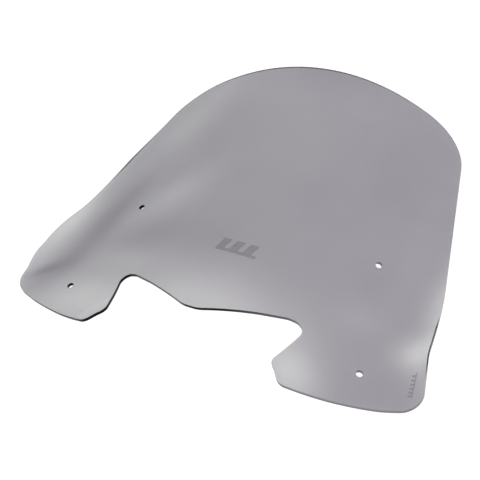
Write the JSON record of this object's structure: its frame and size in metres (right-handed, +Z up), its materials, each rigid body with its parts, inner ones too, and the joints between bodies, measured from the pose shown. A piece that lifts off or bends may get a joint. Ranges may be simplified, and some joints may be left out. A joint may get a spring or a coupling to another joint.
{
  "type": "windshield screen",
  "caption": "Curved smoked windshield screen for a scooter, with a broad crown, flared wings and a notched lower edge drilled for fixing screws.",
  "frame": {"origin": "on the plane the screen lies on, hollow side down, under the middle of its width and length", "axes": "+X across the screen toward the side that carries the side mark, +Y from the notched lower edge to the top edge, +Z up through the crowned outer face"},
  "size_m": [0.4588, 0.4108, 0.0568],
  "materials": {
    "smoked_acrylic": "clear smoked grey with a faint violet tint, polished both sides",
    "mark_ink": "dark translucent printed ink"
  },
  "bodies": {
    "root": {"screen_sheet": "smoked_acrylic", "centre_mark": "mark_ink", "side_mark": "mark_ink"}
  },
  "joints": []
}
